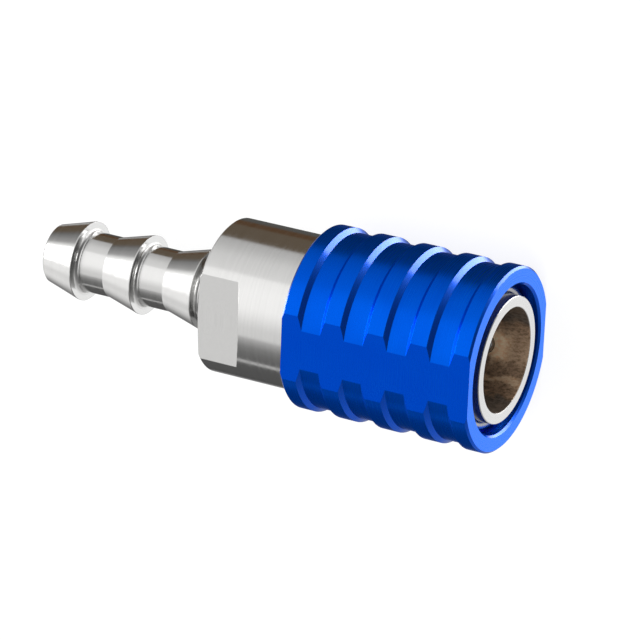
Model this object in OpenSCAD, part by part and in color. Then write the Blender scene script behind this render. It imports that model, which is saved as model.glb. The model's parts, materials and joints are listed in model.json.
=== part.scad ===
// Quick coupling for liquid cooling: the socket half, with a ball lock, a flat-face valve and a hose tail.
// The axis is X. The mouth is at x = 0 and opens towards +X, and depths are measured behind it.
// +Z is the outward normal of the sleeve's upper flat.

/* [Bore and socket body] */
// Diameter of the bore that takes the plug's nose
bore_d = 15; // [14.4:0.1:15.4]
// Wall of the socket body round the bore
socket_wall = 1.6; // [1.5:0.05:1.8]
// Length of the socket body, from the mouth to the stem support
socket_len = 31; // [30:0.5:34]
// Step in the bore that stops the valve sleeve
valve_step = 0.6; // [0.4:0.05:0.8]
// Depth of that step behind the mouth
valve_step_depth = 13.8; // [13.4:0.1:14.4]
// Chamfer at the socket body's mouth
mouth_chamfer = 0.1; // [0.05:0.05:0.4]

/* [Locking balls] */
// Diameter of a locking ball
ball_d = 3; // [2.8:0.05:3.1]
// Number of locking balls, each a node of its own
ball_count = 8; // [6:1:10]
// Depth of the ball circle behind the mouth
ball_depth = 6.8; // [6.6:0.1:7.1]
// How far a locked ball reaches into the bore
ball_bite = 1.2; // [1:0.05:1.3]
// Angle from +Z of the first ball
ball_start = 32; // [0:1:44]
// Play of a ball in its hole, all round
ball_play = 0.06; // [0.05:0.01:0.08]
// Narrowing of a ball's hole towards the bore, as a slope
ball_lip = 0.2; // [0.1:0.01:0.22]

/* [Release sleeve] */
// Wall of the sleeve's skirt under a ridge, round the hose tail's cylinder
sleeve_wall = 1.97; // [1.8:0.05:2.6]
// Length of the sleeve
sleeve_len = 28.8; // [28:0.1:30]
// Number of ridges
ridge_count = 5; // [4:1:5]
// Width of a ridge's crest
ridge_w = 2.45; // [1.8:0.05:2.8]
// Depth of the grooves between the ridges
groove_depth = 0.62; // [0.3:0.02:0.7]
// Depth of the sleeve's two flats below the ridges
flat_depth = 0.95; // [0.5:0.05:1.1]
// Chamfer on the sleeve's outer edge at the mouth
sleeve_chamfer = 0.3; // [0.1:0.05:0.4]
// Chamfer on the sleeve's outer edge at its rear
rear_chamfer = 0.3; // [0.05:0.05:0.4]
// Chamfer on the sleeve's inner edges
lip_chamfer = 0.3; // [0.05:0.05:0.3]
// Gap between the socket body and the sleeve at the mouth
mouth_gap = 1.6; // [1.5:0.05:1.8]
// How far the sleeve slides back to release the plug
sleeve_travel = 5; // [4.8:0.1:5.2]
// Length of the land that carries the sleeve on the socket body
land_len = 4.3; // [3.5:0.1:4.8]
// Running play between parts that slide on each other, on the radius
slide_play = 0.08; // [0.03:0.01:0.1]
// Play left between the balls and the sleeve's cam
cam_play = 0.05; // [0.02:0.01:0.08]

/* [Snap ring and thrust washer] */
// Gap between the snap ring's wire and the sleeve round it
snap_play = 0.2; // [0.1:0.05:0.25]
// Depth of the snap ring's groove in the socket body
snap_groove = 0.3; // [0.2:0.05:0.4]
// Depth of the snap ring behind the mouth
snap_depth = 2.5; // [2.2:0.1:2.7]
// Opening of the snap ring, as an angle
snap_opening = 24; // [10:1:40]
// Thickness of the thrust washer
washer_t = 0.8; // [0.5:0.1:1.2]

/* [Hose tail] */
// Diameter of the hose tail's cylinder
tail_d = 22.4; // [22:0.1:22.8]
// Depth of the hose tail's front face behind the mouth
tail_front = 24.5; // [24:0.1:26]
// Depth of the rear shoulder behind the mouth
tail_shoulder = 43.5; // [42:0.5:48]
// Distance across the wrench flats
wrench_flats = 18.3; // [17.8:0.1:20]
// Length of the wrench flats
wrench_len = 6.1; // [4:0.1:7]
// Slope of the step at the end of the wrench flats, from square
wrench_slope = 30; // [0:5:45]
// Slope of the rear shoulder, from square
shoulder_slope = 8; // [0:1:15]
// Chamfer on the cylinder's edges
tail_chamfer = 0.3; // [0.1:0.05:0.5]
// Number of barbs
barb_count = 3; // [2:1:5]
// Largest diameter of a barb
barb_d = 11.7; // [11:0.1:12]
// Diameter of the neck between two barbs
neck_d = 8.9; // [8.6:0.1:9.6]
// Smallest diameter of the last barb, at the tip
tip_d = 8.7; // [8.4:0.1:9.2]
// Distance from the shoulder to the first barb's edge
first_barb = 3.5; // [3.2:0.1:6]
// Distance from one barb to the next
barb_pitch = 9.85; // [8.5:0.05:11]
// Length of a barb's taper
barb_taper = 5.3; // [4:0.1:6]
// Length of the last barb's taper
tip_taper = 5.6; // [4.5:0.1:7]
// Width of a barb's cylindrical edge
barb_edge = 0.15; // [0.05:0.05:0.3]
// Fillet in a barb's root
barb_fillet = 0.6; // [0.2:0.05:0.7]
// Chamfer on the last barb's tip
tip_chamfer = 0.2; // [0.05:0.05:0.3]
// Diameter of the flow bore through the barbs
flow_d = 6.8; // [6:0.1:7]
// Diameter of the chamber behind the stem support
chamber_d = 15.2; // [14.4:0.1:15.6]
// Distance from the rear shoulder to the end of the chamber's straight wall
chamber_floor = 3.3; // [2.8:0.1:5]
// Play of the threads between the socket body and the hose tail, on the radius
thread_play = 0.03; // [0.01:0.01:0.05]

/* [Valve] */
// Depth of the stem head's face behind the mouth
valve_depth = 12; // [11.8:0.1:12.4]
// Diameter of the stem head
head_d = 10.1; // [9.6:0.1:10.6]
// Thickness of the stem head
head_t = 3.6; // [3.2:0.1:4]
// Chamfer on the stem head and the valve sleeve's nose
head_chamfer = 0.2; // [0.1:0.05:0.3]
// Diameter of the stem
stem_d = 4.2; // [3.4:0.1:4.8]
// Thickness of the stem support
support_t = 2.2; // [1.8:0.1:3]
// Number of flow holes in the stem support
flow_holes = 5; // [4:1:6]
// Diameter of a flow hole
flow_hole_d = 3.4; // [2.8:0.1:3.6]
// Diameter of the stem's threaded end
thread_d = 3; // [2.5:0.1:3.2]
// Size of the stem nut, across its flats
nut_flats = 5.5; // [5:0.1:6]
// Thickness of the stem nut
nut_t = 2.4; // [1.8:0.1:3]
// How far the stem's thread stands out of its nut
thread_stand = 0.6; // [0.3:0.1:1]
// Length of the valve sleeve's flange
valve_flange = 4.4; // [4:0.1:5]
// Width of the valve sleeve's rear rim, which the spring presses on
valve_rim = 1.6; // [1.3:0.1:2]

/* [Springs] */
// Wire of the sleeve spring
sleeve_wire = 1.2; // [1:0.05:1.3]
// Coils of the sleeve spring, with its closed ends
sleeve_coils = 4.5; // [4:0.5:5]
// Wire of the valve spring
valve_wire = 1; // [0.8:0.05:1.1]
// Coils of the valve spring, with its closed ends
valve_coils = 6; // [5:0.5:6]
// Gap between the valve spring and the socket body round it
valve_spring_play = 0.25; // [0.15:0.05:0.4]

/* [Seals] */
// Section of the plug seal
plug_seal_w = 1; // [0.9:0.05:1.1]
// Depth of the plug seal's groove behind the mouth
plug_seal_depth = 10; // [9.9:0.05:10.2]
// How far the plug seal stands into the bore
plug_seal_stand = 0.15; // [0.1:0.01:0.2]
// Section of the stem seal
stem_seal_w = 1; // [0.8:0.05:1.1]
// Section of the valve seal
valve_seal_w = 1; // [0.8:0.05:1.1]
// Section of the body seal
body_seal_w = 1; // [0.8:0.05:1.2]
// Distance from the hose tail's front face to the middle of the body seal
body_seal_inset = 2.2; // [1.6:0.1:3]
// Room on each side of a seal in its groove
groove_room = 0.16; // [0.1:0.02:0.24]
// Play between a seal and the walls of its groove
seal_play = 0.02; // [0.01:0.01:0.04]

/* [Hidden] */
$fn = 96;

// Colours
steel = [0.78, 0.78, 0.77];
bright_steel = [0.86, 0.86, 0.85];
spring_steel = [0.62, 0.63, 0.65];
blue = [0.02, 0.25, 0.78];
black_rubber = [0.07, 0.07, 0.08];

// A length by which a cut runs past the face that it opens
past = 1;
// Half of a drill point's angle
drill_angle = 60;

// Socket body
bore_r = bore_d / 2;
socket_r = bore_r + socket_wall;
rear_bore_r = bore_r + valve_step;

// Locking balls: a ball's centre moves outwards from locked_r, in step with the sleeve
ball_r = ball_d / 2;
locked_r = bore_r - ball_bite + ball_r;
cam_rise = ball_bite / sleeve_travel;
cam_angle = atan(cam_rise);
ball_hole_r = ball_r + ball_play;

// Release sleeve
skirt_r = tail_d / 2 + slide_play;
sleeve_r = skirt_r + sleeve_wall;
sleeve_flats = 2 * (sleeve_r - flat_depth);
groove_r = sleeve_r - groove_depth;
ridge_pitch = (sleeve_len - ridge_w) / (ridge_count - 1);
relief_r = socket_r + mouth_gap;
land_r = socket_r + slide_play;

// Cam: a cone in the sleeve, as far from a ball's centre as the ball's radius and the play, all the way
function cam_r(depth) = locked_r + (ball_depth - depth) * cam_rise + (ball_r + cam_play) / cos(cam_angle);
cam_end = ball_depth + (cam_r(ball_depth) - land_r) / cam_rise;
land_end = cam_end + land_len;

// Snap ring: its round wire fills the gap at the mouth, and the cam's front edge rests on it
snap_wire_r = (snap_groove + mouth_gap - snap_play) / 2;
snap_r = socket_r - snap_groove + snap_wire_r;
snap_rise = cam_r(snap_depth + snap_wire_r / 2) - snap_r;
snap_face = snap_depth + sqrt(pow(snap_wire_r, 2) - pow(snap_rise, 2)) + seal_play;

// Hose tail
tail_r = tail_d / 2;
barb_r = barb_d / 2;
neck_r = neck_d / 2;
tip_r = tip_d / 2;
shoulder_rise = (tail_r - tail_chamfer - neck_r) * tan(shoulder_slope);
flow_r = flow_d / 2;
support_end = socket_len + support_t;
thread_end = support_end + nut_t + thread_stand;
thread_r = socket_r + thread_play;
chamber_r = chamber_d / 2;
chamber_end = tail_shoulder - chamber_floor;
function barb_edge_depth(i) = tail_shoulder + first_barb + i * barb_pitch;
tail_end = barb_edge_depth(barb_count - 1) + tip_taper;

// Valve
head_r = head_d / 2;
stem_r = stem_d / 2;
head_back = (head_r - stem_r) / 2;
valve_bore_r = head_r + slide_play;
valve_nose_r = bore_r - slide_play;
valve_flange_r = rear_bore_r - slide_play;
valve_end = valve_step_depth + valve_flange;
flow_circle_r = (chamber_r + nut_flats / 2) / 2;

// Springs: the steps in a turn, the sides of the wire, and a closed coil's advance in wires
coil_steps = 24;
coil_sides = 8;
closed_lay = 1.04;
sleeve_spring_r = (socket_r + skirt_r) / 2;
valve_spring_r = rear_bore_r - valve_spring_play - valve_wire / 2;

// Seals: each lies in its groove, against the wall that it seals
plug_seal_r = bore_r - plug_seal_stand + plug_seal_w / 2;
stem_seal_depth = valve_depth + head_t / 2;
stem_seal_r = valve_bore_r - seal_play - stem_seal_w / 2;
valve_seal_depth = valve_step_depth + valve_flange / 2;
valve_seal_r = rear_bore_r - seal_play - valve_seal_w / 2;
body_seal_depth = tail_front + body_seal_inset;
body_seal_r = socket_r + seal_play + body_seal_w / 2;

// A body of revolution about the X axis. Each point is [depth behind the mouth, radius].
module turned(outline) {
    rotate([0, 90, 0])
        rotate_extrude()
            polygon([for (p = outline) [p[1], -p[0]]]);
}

// A ring of round section about the X axis
module round_ring(depth, ring_r, section_r, angle = 360) {
    translate([-depth, 0, 0])
        rotate([0, 90, 0])
            rotate_extrude(angle = angle)
                translate([ring_r, 0])
                    circle(r = section_r, $fn = 32);
}

// The cutter for the groove of a seal, from radius open_r at the groove's mouth to the seal's far side
module seal_groove(depth, seal_r, section, open_r) {
    half = section / 2 + groove_room;
    side = open_r < seal_r ? 1 : -1;
    floor_r = seal_r + side * (section / 2 + seal_play);
    turned([[depth - half, open_r], [depth - half, floor_r],
            [depth + half, floor_r], [depth + half, open_r]]);
}

// Two flats, square to Z, as a cutter for a cylinder of radius r between two depths.
module flats_cutter(across, r, depth1, depth2) {
    for (side = [-1, 1])
        translate([-(depth1 + depth2) / 2, 0, side * (across / 2 + r / 2)])
            cube([depth2 - depth1, 2 * r + 2 * past, r], center = true);
}

// The same with a step at depth1 that leans outwards by the given slope.
module leaning_flats_cutter(across, r, depth1, depth2, slope) {
    height = r + past - across / 2;
    for (side = [-1, 1])
        translate([0, r + past, 0])
            rotate([90, 0, 0])
                linear_extrude(2 * (r + past))
                    polygon([[-depth2, side * across / 2], [-depth1, side * across / 2],
                             [height * tan(slope) - depth1, side * (across / 2 + height)],
                             [-depth2, side * (across / 2 + height)]]);
}

// The fillet between a barb's neck and its face at the given depth, as points of an outline
function root_fillet(depth) =
    [for (a = [0:15:90]) [depth - barb_fillet * (1 - sin(a)), neck_r + barb_fillet * (1 - cos(a))]];

// A compression spring about the X axis, between two depths. Its first and last coils are closed:
// they advance by little more than the wire, and the coils between them share the rest of the length.
module coil_spring(depth1, depth2, ring_r, wire, coils) {
    steps = round(coils * coil_steps);
    sides = coil_sides;
    wire_r = wire / 2;
    lay = wire * closed_lay;
    open_lay = (depth2 - depth1 - wire - 2 * lay) / (coils - 2);
    points = [for (i = [0:steps])
        let (turns = i / coil_steps,
             closed = min(turns, 1) + max(turns - coils + 1, 0),
             depth = depth1 + wire_r + closed * lay + (turns - closed) * open_lay)
        for (k = [0:sides - 1])
            let (a = k * 360 / sides, r = ring_r + wire_r * cos(a))
            [-depth - wire_r * sin(a), r * cos(turns * 360), r * sin(turns * 360)]];
    walls = [for (i = [0:steps - 1], k = [0:sides - 1])
        [i * sides + k, i * sides + (k + 1) % sides, (i + 1) * sides + (k + 1) % sides, (i + 1) * sides + k]];
    ends = [[for (k = [0:sides - 1]) sides - 1 - k], [for (k = [0:sides - 1]) steps * sides + k]];
    polyhedron(points = points, faces = concat(walls, ends), convexity = 10);
}

module socket_body() {
    c = mouth_chamfer;
    color(bright_steel)
        difference() {
            turned([[0, bore_r + c], [0, socket_r - c], [c, socket_r], [socket_len, socket_r],
                    [socket_len, rear_bore_r], [valve_step_depth, rear_bore_r], [valve_step_depth, bore_r],
                    [c, bore_r]]);
            round_ring(snap_depth, snap_r, snap_wire_r + seal_play);
            seal_groove(plug_seal_depth, plug_seal_r, plug_seal_w, bore_r - past);
            for (i = [1:ball_count])
                at_ball(i) {
                    cylinder(r = ball_hole_r, h = socket_r - locked_r + past);
                    translate([0, 0, -ball_bite])
                        cylinder(r1 = ball_hole_r - ball_lip * ball_bite, r2 = ball_hole_r, h = ball_bite);
                }
        }
}

module hose_tail() {
    c = tail_chamfer;
    color(steel)
        difference() {
            turned(hose_tail_outline(c));
            leaning_flats_cutter(wrench_flats, tail_r, tail_shoulder - wrench_len,
                         tail_shoulder + shoulder_rise + past, wrench_slope);
            seal_groove(body_seal_depth, body_seal_r, body_seal_w, socket_r - past);
        }
}

// The hose tail's section: cylinder, barbs, flow bore, chamber and thread seat
function hose_tail_outline(c) = concat(
    [[tail_front, thread_r], [tail_front, tail_r - c], [tail_front + c, tail_r],
     [tail_shoulder - c, tail_r], [tail_shoulder, tail_r - c], [tail_shoulder + shoulder_rise, neck_r]],
    [for (i = [0:barb_count - 1])
        let (d = barb_edge_depth(i), last = i == barb_count - 1)
        each concat(root_fillet(d), [[d, barb_r], [d + barb_edge, barb_r],
                                     last ? [tail_end - tip_chamfer, tip_r] : [d + barb_taper, neck_r]])],
    [[tail_end, tip_r - tip_chamfer], [tail_end, flow_r + c], [tail_end - c, flow_r],
     [chamber_end + (chamber_r - flow_r) / tan(drill_angle), flow_r], [chamber_end, chamber_r],
     [support_end, chamber_r], [support_end, thread_r]]);

module release_sleeve() {
    outside = concat(
        [[0, sleeve_r - sleeve_chamfer], [sleeve_chamfer, sleeve_r]],
        [for (i = [0:ridge_count - 2])
            let (d1 = i * ridge_pitch + ridge_w, d2 = (i + 1) * ridge_pitch)
            each [[d1, sleeve_r], [d1 + groove_depth, groove_r],
                  [d2 - groove_depth, groove_r], [d2, sleeve_r]]],
        [[sleeve_len - rear_chamfer, sleeve_r], [sleeve_len, sleeve_r - rear_chamfer]]);
    inside = [[sleeve_len, skirt_r + lip_chamfer], [sleeve_len - lip_chamfer, skirt_r], [land_end, skirt_r],
              [land_end, land_r], [cam_end, land_r], [snap_face, cam_r(snap_face)], [snap_face, relief_r],
              [lip_chamfer, relief_r], [0, relief_r + lip_chamfer]];
    color(blue)
        difference() {
            turned(concat(outside, inside));
            flats_cutter(sleeve_flats, sleeve_r, -past, sleeve_len + past);
        }
}

module snap_ring() {
    color(bright_steel)
        round_ring(snap_depth, snap_r, snap_wire_r, 360 - snap_opening);
}

module thrust_washer() {
    color(steel)
        turned([[land_end, land_r], [land_end, skirt_r - slide_play],
                [land_end + washer_t, skirt_r - slide_play], [land_end + washer_t, land_r]]);
}

module sleeve_spring() {
    color(spring_steel)
        coil_spring(land_end + washer_t, tail_front, sleeve_spring_r, sleeve_wire, sleeve_coils);
}

// Places its children at a ball's centre when locked, with +Z outwards
module at_ball(i) {
    rotate([ball_start + (i - 1) * 360 / ball_count, 0, 0])
        translate([-ball_depth, 0, locked_r])
            children();
}

module locking_ball(i) {
    color(bright_steel)
        at_ball(i)
            sphere(r = ball_r, $fn = 48);
}

module plug_seal() {
    color(black_rubber)
        round_ring(plug_seal_depth, plug_seal_r, plug_seal_w / 2);
}

module valve_stem() {
    c = head_chamfer;
    color(steel)
        difference() {
            turned([[valve_depth, 0], [valve_depth, head_r - c], [valve_depth + c, head_r],
                    [valve_depth + head_t, head_r], [valve_depth + head_t + head_back, stem_r],
                    [socket_len, stem_r], [socket_len, thread_d / 2], [thread_end, thread_d / 2],
                    [thread_end, 0]]);
            seal_groove(stem_seal_depth, stem_seal_r, stem_seal_w, head_r + past);
        }
}

module stem_seal() {
    color(black_rubber)
        round_ring(stem_seal_depth, stem_seal_r, stem_seal_w / 2);
}

// A disc between the socket body and the hose tail, with flow holes round the stem
module stem_support() {
    color(steel)
        difference() {
            turned([[socket_len, thread_d / 2], [socket_len, socket_r], [support_end, socket_r],
                    [support_end, thread_d / 2]]);
            for (i = [1:flow_holes])
                rotate([i * 360 / flow_holes, 0, 0])
                    translate([-support_end - past, 0, flow_circle_r])
                        rotate([0, 90, 0])
                            cylinder(d = flow_hole_d, h = support_t + 2 * past);
        }
}

module stem_nut() {
    corner_r = nut_flats / 2 / cos(30);
    c = (corner_r - nut_flats / 2) / 2;
    color(bright_steel)
        intersection() {
            translate([-support_end - nut_t, 0, 0])
                rotate([0, 90, 0])
                    difference() {
                        cylinder(r = corner_r, h = nut_t, $fn = 6);
                        translate([0, 0, -past])
                            cylinder(d = thread_d, h = nut_t + 2 * past);
                    }
            turned([[support_end, 0], [support_end, corner_r], [support_end + nut_t - c, corner_r],
                    [support_end + nut_t, corner_r - 2 * c], [support_end + nut_t, 0]]);
        }
}

module valve_sleeve() {
    c = head_chamfer;
    color(steel)
        difference() {
            turned([[valve_depth, valve_bore_r], [valve_depth, valve_nose_r - c],
                    [valve_depth + c, valve_nose_r], [valve_step_depth, valve_nose_r],
                    [valve_step_depth, valve_flange_r], [valve_end, valve_flange_r],
                    [valve_end, valve_flange_r - valve_rim], [valve_depth + head_t + c, valve_bore_r]]);
            seal_groove(valve_seal_depth, valve_seal_r, valve_seal_w, rear_bore_r + past);
        }
}

module valve_seal() {
    color(black_rubber)
        round_ring(valve_seal_depth, valve_seal_r, valve_seal_w / 2);
}

module valve_spring() {
    color(spring_steel)
        coil_spring(valve_end, socket_len, valve_spring_r, valve_wire, valve_coils);
}

module body_seal() {
    color(black_rubber)
        round_ring(body_seal_depth, body_seal_r, body_seal_w / 2);
}

socket_body();
hose_tail();
release_sleeve();
snap_ring();
thrust_washer();
sleeve_spring();
for (i = [1:ball_count])
    locking_ball(i);
plug_seal();
valve_stem();
stem_seal();
stem_support();
stem_nut();
valve_sleeve();
valve_seal();
valve_spring();
body_seal();
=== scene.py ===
"""Looks of the quick coupling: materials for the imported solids, smooth wire for its springs, and a plain studio."""
import json
import math

import bpy
from mathutils import Matrix, Vector


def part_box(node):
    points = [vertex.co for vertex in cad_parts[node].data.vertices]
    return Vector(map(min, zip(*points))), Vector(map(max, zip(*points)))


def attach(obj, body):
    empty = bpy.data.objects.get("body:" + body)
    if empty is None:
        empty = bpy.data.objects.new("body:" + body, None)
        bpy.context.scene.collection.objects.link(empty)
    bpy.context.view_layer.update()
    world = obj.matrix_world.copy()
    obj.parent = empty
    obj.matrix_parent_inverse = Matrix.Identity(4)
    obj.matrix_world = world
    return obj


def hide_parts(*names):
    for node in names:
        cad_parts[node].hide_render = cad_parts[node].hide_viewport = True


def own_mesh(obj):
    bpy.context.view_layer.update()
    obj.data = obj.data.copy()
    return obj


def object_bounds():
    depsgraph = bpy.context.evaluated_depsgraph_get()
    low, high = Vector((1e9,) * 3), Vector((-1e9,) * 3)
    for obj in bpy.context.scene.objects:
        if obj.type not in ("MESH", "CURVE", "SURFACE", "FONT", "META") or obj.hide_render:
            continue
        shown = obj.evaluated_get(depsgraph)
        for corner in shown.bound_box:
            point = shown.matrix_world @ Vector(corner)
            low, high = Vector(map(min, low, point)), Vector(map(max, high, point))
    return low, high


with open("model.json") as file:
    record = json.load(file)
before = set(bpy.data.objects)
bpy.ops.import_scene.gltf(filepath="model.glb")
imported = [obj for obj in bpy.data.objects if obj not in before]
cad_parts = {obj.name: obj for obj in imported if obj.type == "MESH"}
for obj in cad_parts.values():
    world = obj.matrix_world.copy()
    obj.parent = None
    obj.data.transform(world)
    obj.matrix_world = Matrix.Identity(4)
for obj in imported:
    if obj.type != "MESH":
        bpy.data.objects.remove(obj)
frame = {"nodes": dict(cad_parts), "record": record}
cad_low, cad_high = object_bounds()

MM = 0.001
scene = bpy.context.scene


# ---------------------------------------------------------------- helpers for node trees

def new_material(name):
    material = bpy.data.materials.new(name)
    material.use_nodes = True
    material.node_tree.nodes.clear()
    return material, material.node_tree


def add(tree, kind, **settings):
    node = tree.nodes.new(kind)
    for key, value in settings.items():
        setattr(node, key, value)
    return node


def feed(tree, socket, value):
    """Gives a socket its value: another node's output, a colour or a number."""
    if isinstance(value, (int, float)):
        socket.default_value = value
    elif isinstance(value, tuple):
        socket.default_value = (*value, 1.0)
    else:
        tree.links.new(value, socket)


def math_node(tree, operation, *values):
    node = add(tree, "ShaderNodeMath", operation=operation)
    for socket, value in zip(node.inputs, values):
        feed(tree, socket, value)
    return node.outputs[0]


def total(tree, first, *others):
    for value in others:
        first = math_node(tree, "ADD", first, value)
    return first


def product(tree, first, *others):
    for value in others:
        first = math_node(tree, "MULTIPLY", first, value)
    return first


def map_range(tree, value, low, high, to_low=0.0, to_high=1.0, smooth=False):
    node = add(tree, "ShaderNodeMapRange", interpolation_type="SMOOTHSTEP" if smooth else "LINEAR")
    feed(tree, node.inputs["Value"], value)
    for name, number in (("From Min", low), ("From Max", high), ("To Min", to_low), ("To Max", to_high)):
        feed(tree, node.inputs[name], number)
    return node.outputs["Result"]


def band(tree, value, rise, fall, height=1.0):
    """The height between the end of rise and the start of fall, fading to 0 outside them."""
    return product(tree, map_range(tree, value, *rise), map_range(tree, value, *fall, height, 0.0))


def mix_colour(tree, factor, a, b):
    node = add(tree, "ShaderNodeMix", data_type="RGBA")
    for socket, value in ((node.inputs[0], factor), (node.inputs[6], a), (node.inputs[7], b)):
        feed(tree, socket, value)
    return node.outputs[2]


def noise(tree, vector, scale, detail=2.0, roughness=0.5):
    node = add(tree, "ShaderNodeTexNoise")
    for name, value in (("Vector", vector), ("Scale", scale), ("Detail", detail), ("Roughness", roughness)):
        feed(tree, node.inputs[name], value)
    return node.outputs["Fac"]


def noise_range(tree, value, to_low=0.0, to_high=1.0):
    """Maps the middle of a noise, where nearly all of it lies."""
    return map_range(tree, value, 0.3, 0.7, to_low, to_high)


def combine(tree, *values):
    node = add(tree, "ShaderNodeCombineXYZ")
    for socket, value in zip(node.inputs, values):
        feed(tree, socket, value)
    return node.outputs[0]


def coordinates(tree, kind):
    """A vector of the texture coordinates, whole and as its x, y and z."""
    vector = add(tree, "ShaderNodeTexCoord").outputs[kind]
    parts = add(tree, "ShaderNodeSeparateXYZ")
    tree.links.new(vector, parts.inputs[0])
    return vector, tuple(parts.outputs)


def lathe_coordinates(tree):
    """The place on the part, its x, y and z, its distance from the axis, and a vector that is the same all round a
    turned line."""
    place, (x, y, z) = coordinates(tree, "Object")
    radius = math_node(tree, "SQRT", total(tree, product(tree, y, y), product(tree, z, z)))
    return place, (x, y, z), radius, combine(tree, x, radius, 0.0)


def bump(tree, height, distance, normal=None):
    node = add(tree, "ShaderNodeBump")
    feed(tree, node.inputs["Strength"], 1.0)
    feed(tree, node.inputs["Distance"], distance)
    feed(tree, node.inputs["Height"], height)
    if normal is not None:
        feed(tree, node.inputs["Normal"], normal)
    return node.outputs[0]


def soft_edges(tree, radius):
    """The small round that deburring leaves along every edge."""
    node = add(tree, "ShaderNodeBevel", samples=4)
    feed(tree, node.inputs["Radius"], radius)
    return node.outputs[0]


def principled(tree, **values):
    shader = add(tree, "ShaderNodeBsdfPrincipled")
    for name, value in values.items():
        feed(tree, shader.inputs[name.replace("_", " ")], value)
    out = add(tree, "ShaderNodeOutputMaterial")
    tree.links.new(shader.outputs[0], out.inputs["Surface"])
    return shader


def lathe_shader(tree, anisotropy, **values):
    """A shader with its highlights drawn out across the lathe's marks, which run round the X axis."""
    shader = principled(tree, Anisotropic=anisotropy, Anisotropic_Rotation=0.25, **values)
    tangent = add(tree, "ShaderNodeTangent", direction_type="RADIAL", axis="X")
    tree.links.new(tangent.outputs[0], shader.inputs["Tangent"])
    return shader


def finish(tree, shader, tone, rough, normal):
    for name, value in (("Base Color", tone), ("Roughness", rough), ("Normal", normal)):
        feed(tree, shader.inputs[name], value)


# ---------------------------------------------------------------- materials
# The noises' scales are in waves to the metre.

BORE_R = 7.5 * MM
# Dark and pale tones of the bore's speckle: as it is, in the painted highlight bands, and in the painted shade
BORE_TONES = (0.30, 0.19, 0.12), (0.74, 0.50, 0.33)
HIGHLIGHT_TONES = (0.92, 0.54, 0.30), (1.0, 0.80, 0.56)
SHADE_TONES = (0.11, 0.09, 0.075), (0.27, 0.225, 0.185)
# Where the painted highlight bands and the painted shade begin and end, in radians round the bore from -Z towards +Y
WIDE_HIGHLIGHT = (-0.55, -0.44), (0.0, 0.2)
NARROW_HIGHLIGHT = (-0.93, -0.87), (-0.80, -0.74)
SHADE_BEFORE, SHADE_AFTER = (-1.25, -1.15), (0.28, 0.45)

STEEL_EDGE, STEEL_MARKS = 0.1 * MM, 0.0012 * MM
SLEEVE_EDGE, SLEEVE_MARKS = 0.08 * MM, 0.0006 * MM
ANODISED, ANODISED_PALER = (0.0, 0.090, 0.69), (0.0, 0.102, 0.73)
SPARKLE, MILLED, FACED = (0.01, 0.15, 0.80), (0.0, 0.052, 0.60), (0.018, 0.165, 0.93)


def bore_speckle_and_painted_light(tree, place, x, y, z):
    """The bore's tone with bands of painted highlight and painted shade, how strong the painted highlight is, and its
    speckle, which is drawn out a little along the axis.
    """
    speckle = noise(tree, combine(tree, product(tree, x, 0.55), y, z), 2600.0, 4.0, 0.75)
    spread = map_range(tree, speckle, 0.38, 0.62)
    # Painted highlight in long bands on the lower side of the bore, with wandering edges, weaker towards the mouth
    wander = product(tree, math_node(tree, "SUBTRACT", noise(tree, place, 420.0, 4.0, 0.6), 0.5), 0.5)
    around = total(tree, math_node(tree, "ARCTAN2", y, product(tree, z, -1.0)), wander)
    wide_highlight = product(tree, band(tree, around, *WIDE_HIGHLIGHT), map_range(tree, x, -2.2 * MM, -4.0 * MM, 0.2, 1.0))
    painted_highlight = total(tree, wide_highlight, band(tree, around, *NARROW_HIGHLIGHT, 0.6))
    # Painted shade: the bore is darker outside the span that holds the painted highlight bands
    painted_shade = total(tree, map_range(tree, around, *SHADE_BEFORE, 1.0, 0.0), map_range(tree, around, *SHADE_AFTER))
    tone = mix_colour(tree, spread, *BORE_TONES)
    tone = mix_colour(tree, painted_highlight, tone, mix_colour(tree, spread, *HIGHLIGHT_TONES))
    tone = mix_colour(tree, painted_shade, tone, mix_colour(tree, spread, *SHADE_TONES))
    return tone, painted_highlight, speckle


def turned_steel(name, colour, roughness, faced=None, bore_r=None):
    """Turned steel: fine marks round the axis, with the tone faced on what is square to it. Inside bore_r it is warmer
    and more speckled, with bands of painted highlight and painted shade."""
    material, tree = new_material(name)
    shader = lathe_shader(tree, 0.55, Metallic=1.0)
    place, (x, y, z), radius, line = lathe_coordinates(tree)
    fine = noise(tree, line, 9000.0, 3.0, 0.6)
    broad = noise(tree, line, 1500.0, 1.0)
    grain = noise(tree, place, 5000.0, 2.0)
    in_the_marks = tuple(c * 0.93 for c in colour)
    tone = mix_colour(tree, noise_range(tree, fine), in_the_marks, colour)
    rough = total(tree, noise_range(tree, broad, roughness * 0.8, roughness * 1.2),
                  noise_range(tree, grain, -0.02, 0.02))
    height = total(tree, product(tree, fine, 0.8), product(tree, grain, 0.2))
    if faced is not None:
        _, (nx, _, _) = coordinates(tree, "Normal")
        square = map_range(tree, math_node(tree, "ABSOLUTE", nx), 0.93, 0.99)
        tone = mix_colour(tree, square, tone, faced)
    if bore_r is not None:
        inside = map_range(tree, radius, bore_r + 0.02 * MM, bore_r + 0.08 * MM, 1.0, 0.0)
        bore_tone, painted_highlight, speckle = bore_speckle_and_painted_light(tree, place, x, y, z)
        tone = mix_colour(tree, inside, tone, bore_tone)
        # Inside the bore less metal, and least in the painted highlight bands, so that diffuse light brightens them
        less_metal = product(tree, inside, map_range(tree, painted_highlight, 0.0, 1.0, 0.45, 1.0))
        feed(tree, shader.inputs["Metallic"], math_node(tree, "SUBTRACT", 1.0, less_metal))
        rough = total(tree, rough, product(tree, inside, 0.12))
        height = total(tree, height, product(tree, inside, product(tree, speckle, 2.5)))
    finish(tree, shader, tone, rough, bump(tree, height, STEEL_MARKS, soft_edges(tree, STEEL_EDGE)))
    return material


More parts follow.
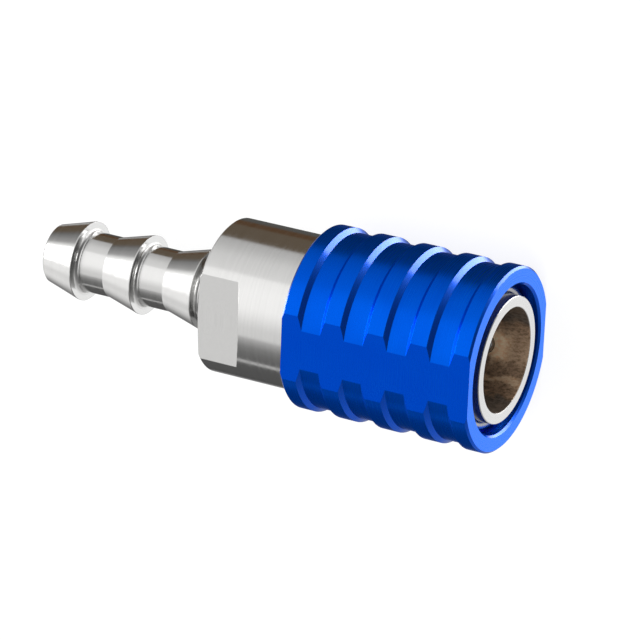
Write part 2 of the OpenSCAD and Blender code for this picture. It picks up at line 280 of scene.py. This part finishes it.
def anodising(name):
    """Blue anodised aluminium, turned, with its flats milled. The form tool leaves the sloping flanks glossier than
    the crests and the flats."""
    material, tree = new_material(name)
    shader = lathe_shader(tree, 0.3, Metallic=0.85, Specular_IOR_Level=0.0, Specular_Tint=(0.45, 0.65, 1.0),
                          Coat_Roughness=0.1)
    place, _, _, line = lathe_coordinates(tree)
    _, (nx, _, nz) = coordinates(tree, "Normal")
    steep = math_node(tree, "ABSOLUTE", nx)
    flank = product(tree, map_range(tree, steep, 0.45, 0.65, 0.02, 0.8),
                    map_range(tree, steep, 0.80, 0.95, 1.0, 0.38))
    low_or_rear = math_node(tree, "MAXIMUM", map_range(tree, nz, 0.2, 0.4, 1.0, 0.3),
                            map_range(tree, nx, -0.3, 0.0, 1.0, 0.0))
    feed(tree, shader.inputs["Coat Weight"], product(tree, flank, low_or_rear))
    fine = noise(tree, line, 7000.0, 3.0, 0.6)
    grain = noise(tree, place, 9000.0, 2.0, 0.6)
    cloud = noise(tree, place, 160.0, 2.0)
    tone = mix_colour(tree, noise_range(tree, cloud), ANODISED, ANODISED_PALER)
    tone = mix_colour(tree, map_range(tree, grain, 0.64, 0.80, 0.0, 0.25), tone, SPARKLE)
    milled = map_range(tree, math_node(tree, "ABSOLUTE", nz), 0.990, 0.998)
    tone = mix_colour(tree, product(tree, milled, 0.5), tone, MILLED)
    tone = mix_colour(tree, map_range(tree, steep, 0.95, 0.99), tone, FACED)
    height = total(tree, product(tree, fine, 0.5), product(tree, grain, 0.5))
    finish(tree, shader, tone, noise_range(tree, fine, 0.25, 0.31),
           bump(tree, height, SLEEVE_MARKS, soft_edges(tree, SLEEVE_EDGE)))
    return material


def drawn_wire(name, colour, roughness):
    material, tree = new_material(name)
    shader = principled(tree, Metallic=1.0)
    place, _ = coordinates(tree, "Object")
    grain = noise(tree, place, 3000.0, 3.0)
    dark = tuple(c * 0.85 for c in colour)
    finish(tree, shader, mix_colour(tree, grain, dark, colour),
           noise_range(tree, grain, roughness * 0.8, roughness * 1.25), bump(tree, grain, 0.0015 * MM))
    return material


def moulded_rubber(name):
    material, tree = new_material(name)
    shader = principled(tree, Metallic=0.0)
    place, _ = coordinates(tree, "Object")
    grain = noise(tree, place, 4000.0, 3.0)
    finish(tree, shader, mix_colour(tree, grain, (0.014, 0.014, 0.016), (0.030, 0.030, 0.032)),
           noise_range(tree, grain, 0.45, 0.62), bump(tree, grain, 0.004 * MM))
    return material


materials = {
    "turned_steel": turned_steel("turned_steel", (0.74, 0.735, 0.725), 0.16, faced=(0.57, 0.57, 0.565)),
    "socket_steel": turned_steel("socket_steel", (0.555, 0.555, 0.555), 0.26, bore_r=BORE_R),
    "blue_anodising": anodising("blue_anodising"),
    # The wire and the balls are darker steel: painted shade, so that the snap ring in the sleeve's gap and the balls
    # in their holes read dark
    "spring_wire": drawn_wire("spring_wire", (0.30, 0.30, 0.31), 0.25),
    "ball_steel": drawn_wire("ball_steel", (0.34, 0.34, 0.34), 0.14),
    "seal_rubber": moulded_rubber("seal_rubber"),
}
slot_of = {part["node"]: part["material_slot"] for part in frame["record"]["subparts"]}
for name, node_object in frame["nodes"].items():
    node_object.data.materials.clear()
    node_object.data.materials.append(materials[slot_of[name]])


# ---------------------------------------------------------------- springs

STEPS_TO_A_TURN = 48
SIDES_OF_WIRE = 16


def smooth_piece(name, points, faces, slot):
    mesh = bpy.data.meshes.new(name)
    mesh.from_pydata(points, [], faces)
    mesh.update()
    mesh.polygons.foreach_set("use_smooth", [True] * len(mesh.polygons))
    mesh.materials.append(materials[slot])
    piece = bpy.data.objects.new(name, mesh)
    scene.collection.objects.link(piece)
    return piece


def coil(name, node, wire, coils):
    """A round-wire compression spring in the place of a CAD spring, with closed ends, as one smooth tube."""
    low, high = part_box(node)
    wire_r, ring_r = wire / 2, high.z - wire / 2
    closed_lay = wire * 1.04
    open_lay = (high.x - low.x - wire - 2 * closed_lay) / (coils - 2)
    count = round(coils * STEPS_TO_A_TURN)
    points, faces = [], []
    for i in range(count + 1):
        turns = i / STEPS_TO_A_TURN
        closed = min(turns, 1) + max(turns - coils + 1, 0)
        depth = wire_r + closed * closed_lay + (turns - closed) * open_lay
        angle = turns * 2 * math.pi
        for k in range(SIDES_OF_WIRE):
            a = 2 * math.pi * k / SIDES_OF_WIRE
            r = ring_r + wire_r * math.cos(a)
            points.append((high.x - depth - wire_r * math.sin(a), r * math.cos(angle), r * math.sin(angle)))
    for i in range(count):
        for k in range(SIDES_OF_WIRE):
            a, b = i * SIDES_OF_WIRE + k, i * SIDES_OF_WIRE + (k + 1) % SIDES_OF_WIRE
            faces.append((a, b, b + SIDES_OF_WIRE, a + SIDES_OF_WIRE))
    faces.append(tuple(reversed(range(SIDES_OF_WIRE))))
    faces.append(tuple(range(count * SIDES_OF_WIRE, (count + 1) * SIDES_OF_WIRE)))
    return smooth_piece(name, points, faces, "spring_wire")


for node, joint, wire, coils in (("sleeve_spring", "sleeve_slide", 1.2 * MM, 4.5),
                                 ("valve_spring", "valve_slide", 1.0 * MM, 6)):
    spring = coil(node + "_wire", node, wire, coils)
    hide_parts(node)
    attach(spring, "socket")
    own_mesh(spring)


# ---------------------------------------------------------------- camera

CAMERA_PLACE = Vector((199.14, 213.56, 449.76)) * MM
LENS_MM = 218.8
SENSOR_MM = 36.0

right = Vector((0.88421, 0.03560, -0.46573)).normalized()
up = Vector((-0.21129, 0.91974, -0.33082))
back = right.cross(up).normalized()
up = back.cross(right)
camera_data = bpy.data.cameras.new("camera")
camera_data.lens = LENS_MM
camera_data.sensor_width = SENSOR_MM
camera_data.clip_start = 0.01
camera_data.clip_end = 20.0
camera = bpy.data.objects.new("camera", camera_data)
scene.collection.objects.link(camera)
camera.matrix_world = Matrix.Translation(CAMERA_PLACE) @ Matrix((right, up, back)).transposed().to_4x4()
scene.camera = camera


# ---------------------------------------------------------------- floor

FLOOR_Z = cad_low.z
HALF_FLOOR = 3.0
FLOOR_GLOW = 0.86
WHITE = (1.0, 1.0, 1.0)


def pale_floor():
    """White for the camera, with the object's shadow on it."""
    material, tree = new_material("floor")
    seen = add(tree, "ShaderNodeLightPath").outputs["Is Camera Ray"]
    diffuse = add(tree, "ShaderNodeBsdfDiffuse")
    feed(tree, diffuse.inputs["Color"], (0.24, 0.24, 0.24))
    glow = add(tree, "ShaderNodeEmission")
    feed(tree, glow.inputs["Color"], WHITE)
    feed(tree, glow.inputs["Strength"], product(tree, seen, FLOOR_GLOW))
    both = add(tree, "ShaderNodeAddShader")
    tree.links.new(diffuse.outputs[0], both.inputs[0])
    tree.links.new(glow.outputs[0], both.inputs[1])
    out = add(tree, "ShaderNodeOutputMaterial")
    tree.links.new(both.outputs[0], out.inputs["Surface"])
    return material


def stage_plane(name, corners, material):
    mesh = bpy.data.meshes.new(name)
    mesh.from_pydata(corners, [], [tuple(range(len(corners)))])
    mesh.materials.append(material)
    piece = bpy.data.objects.new(name, mesh)
    scene.collection.objects.link(piece)
    return piece


floor_corners = [(x * HALF_FLOOR, y * HALF_FLOOR, FLOOR_Z) for x, y in ((-1, -1), (1, -1), (1, 1), (-1, 1))]
floor = stage_plane("floor", floor_corners, pale_floor())
# Its plane would cut through the studio's bands of light in the steel
floor.visible_glossy = False
floor.visible_shadow = False


# ---------------------------------------------------------------- studio light

# Light in long bands along the object. Each list gives the light against the angle round the X axis, in degrees from
# +Z towards -Y: REAR for directions well towards -X, SIDE for those a little towards -X, FRONT towards +X.
BROWN, RUST, DIM = (0.135, 0.105, 0.075), (0.105, 0.058, 0.030), (0.09, 0.088, 0.082)
REAR = [
    (-180, 1.50), (-173, 1.20), (-168, BROWN), (-132, BROWN), (-118, 0.17), (-102, 0.28), (-80, 0.44), (-68, 1.02),
    (-60, 1.26), (-45, 1.32), (-25, 1.34), (-5, 1.20), (19, 1.12), (42, 1.12), (56, 0.90), (92, 1.15), (124, 0.60),
    (150, 0.40), (170, 0.60), (180, 1.50)]
SIDE = [
    (-180, DIM), (-170, DIM), (-166, RUST), (-152, RUST), (-149, BROWN), (-116, BROWN), (-113, 0.55), (-100, 0.63),
    (-82, 0.82), (-60, 0.90), (-56, 1.16), (-35, 1.22), (-12, 1.20), (-2, 1.08), (8, 0.93), (17, 0.82), (30, 0.82),
    (34, 0.50), (47, 0.25), (57, 0.185), (73, 0.13), (75, 0.60), (79, 0.60), (81, 0.11), (117, 0.10), (128, 0.075),
    (138, 0.25), (147, 0.55), (158, 0.58), (166, DIM), (180, DIM)]
FRONT = [
    (-180, 1.30), (-150, 1.10), (-132, 0.65), (-120, 0.95), (-107, 0.50), (-91, 0.20), (-71, 0.14), (-20, 0.12),
    (20, 0.15), (60, 0.24), (85, 0.46), (96, 0.56), (105, 0.60), (115, 0.66), (125, 0.72), (131, 0.95), (154, 1.35),
    (180, 1.30)]
# A ramp's colours stop at 1, so its stops hold shares of this
BRIGHTEST = 1.7
STRIP_LIGHT = 14.5
PATCH_LIGHT = 9.0

world = bpy.data.worlds.new("studio")
scene.world = world
world.use_nodes = True
tree = world.node_tree
tree.nodes.clear()
_, (dx, dy, dz) = coordinates(tree, "Generated")
turn = map_range(tree, math_node(tree, "ARCTAN2", product(tree, dy, -1.0), dz), -math.pi, math.pi)


def light_bands(bands):
    ramp = add(tree, "ShaderNodeValToRGB")
    tree.links.new(turn, ramp.inputs[0])
    ramp.color_ramp.interpolation = "LINEAR"
    stops = ramp.color_ramp.elements
    stops[0].position, stops[1].position = 0.0, 1.0
    for degrees, _ in bands[1:-1]:
        stops.new((degrees + 180) / 360)
    for stop, (_, light) in zip(stops, bands):
        light = light if isinstance(light, tuple) else (light,) * 3
        stop.color = (*(c / BRIGHTEST for c in light), 1.0)
    return ramp.outputs[0]


bands = mix_colour(tree, map_range(tree, dx, -0.78, -0.50), light_bands(REAR), light_bands(SIDE))
bands = mix_colour(tree, map_range(tree, dx, -0.20, 0.20), bands, light_bands(FRONT))

# Two small lights: a narrow strip low in front, which the front bevels catch, and a patch behind for the sharp edges
off_the_strip = math_node(tree, "ABSOLUTE", math_node(tree, "SUBTRACT", dx, dy))
strip = product(tree, map_range(tree, off_the_strip, 0.05, 0.09, 1.0, 0.0, smooth=True),
                product(tree, map_range(tree, dz, -0.45, -0.36, 1.0, 0.0), map_range(tree, dx, -0.04, 0.08)),
                map_range(tree, dz, -1.0, -0.5, 0.40 * STRIP_LIGHT, 0.98 * STRIP_LIGHT))
patch = product(tree, band(tree, dz, (0.15, 0.20), (0.44, 0.49)), band(tree, dy, (-0.17, -0.12), (0.38, 0.43)),
                map_range(tree, dx, -0.87, -0.89, 0.0, PATCH_LIGHT))
studio = add(tree, "ShaderNodeBackground")
feed(tree, studio.inputs["Color"], bands)
feed(tree, studio.inputs["Strength"], total(tree, strip, patch, BRIGHTEST))
backdrop = add(tree, "ShaderNodeBackground")
feed(tree, backdrop.inputs["Color"], WHITE)
feed(tree, backdrop.inputs["Strength"], 1.0)
choose = add(tree, "ShaderNodeMixShader")
for socket, value in zip(choose.inputs, (add(tree, "ShaderNodeLightPath").outputs["Is Camera Ray"],
                                         studio.outputs[0], backdrop.outputs[0])):
    tree.links.new(value, socket)
out = add(tree, "ShaderNodeOutputWorld")
tree.links.new(choose.outputs[0], out.inputs["Surface"])


# ---------------------------------------------------------------- softbox

SOFTBOX_PLACE = Vector((0.16, 0.02, 0.58))
SOFTBOX_AIM = Vector((-0.03, 0, 0))

softbox_data = bpy.data.lights.new("softbox", "AREA")
softbox_data.shape = "RECTANGLE"
softbox_data.size, softbox_data.size_y = 0.5, 0.4
softbox_data.energy = 1.6
softbox = bpy.data.objects.new("softbox", softbox_data)
scene.collection.objects.link(softbox)
softbox.visible_glossy = False
softbox.location = SOFTBOX_PLACE
softbox.rotation_euler = (SOFTBOX_PLACE - SOFTBOX_AIM).to_track_quat("Z", "Y").to_euler()

scene.view_settings.view_transform = "Standard"

bpy.context.view_layer.update()
